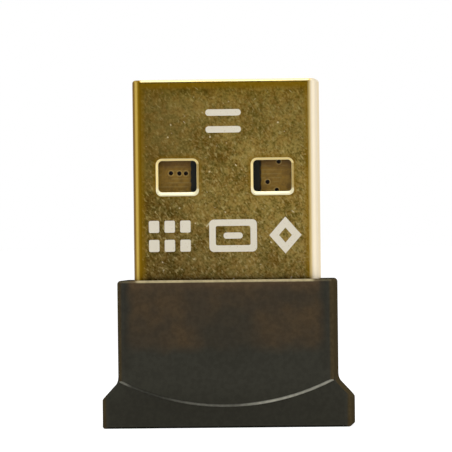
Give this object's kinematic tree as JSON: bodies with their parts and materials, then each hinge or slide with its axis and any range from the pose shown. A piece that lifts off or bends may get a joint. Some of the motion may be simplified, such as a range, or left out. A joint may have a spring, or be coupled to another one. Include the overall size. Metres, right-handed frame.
{
  "type": "usb radio adapter",
  "caption": "Very short full-size plug adapter: a folded sheet-metal plug shell with latch windows in a smoked plastic cap with a flared grip.",
  "frame": {"origin": "middle of the cap's flat end, on which the adapter stands", "axes": "+Z towards the plug's mouth, +X to the right as pictured, the pictured face towards -Y"},
  "size_m": [0.0162, 0.007, 0.0226],
  "materials": {
    "shell_plating": "satin antique gold plating on folded steel sheet",
    "smoked_plastic": "smoked see-through moulding, satin",
    "carrier_plastic": "moulded, matt",
    "board_laminate": "lacquered glass laminate",
    "contact_gold": "gold plated",
    "chip_epoxy": "moulded epoxy, matt",
    "crystal_metal": "satin",
    "trace_copper": "copper under lacquer",
    "lamp_resin": "clear resin",
    "resistor_ceramic": "glazed ceramic with tinned ends",
    "capacitor_ceramic": "fired ceramic with tinned ends"
  },
  "bodies": {
    "root": {"plug_shell": "shell_plating", "cap": "smoked_plastic", "board_carrier": "carrier_plastic", "circuit_board": "board_laminate", "contact_power": "contact_gold", "contact_data_minus": "contact_gold", "contact_data_plus": "contact_gold", "contact_ground": "contact_gold", "radio_chip": "chip_epoxy", "crystal": "crystal_metal", "antenna_trace": "trace_copper", "status_lamp": "lamp_resin", "lamp_resistor": "resistor_ceramic", "crystal_capacitor_left": "capacitor_ceramic", "crystal_capacitor_right": "capacitor_ceramic", "supply_capacitor": "capacitor_ceramic", "core_capacitor": "capacitor_ceramic", "io_capacitor": "capacitor_ceramic", "matching_inductor": "capacitor_ceramic", "matching_capacitor": "capacitor_ceramic", "supply_filter": "resistor_ceramic"}
  },
  "joints": []
}
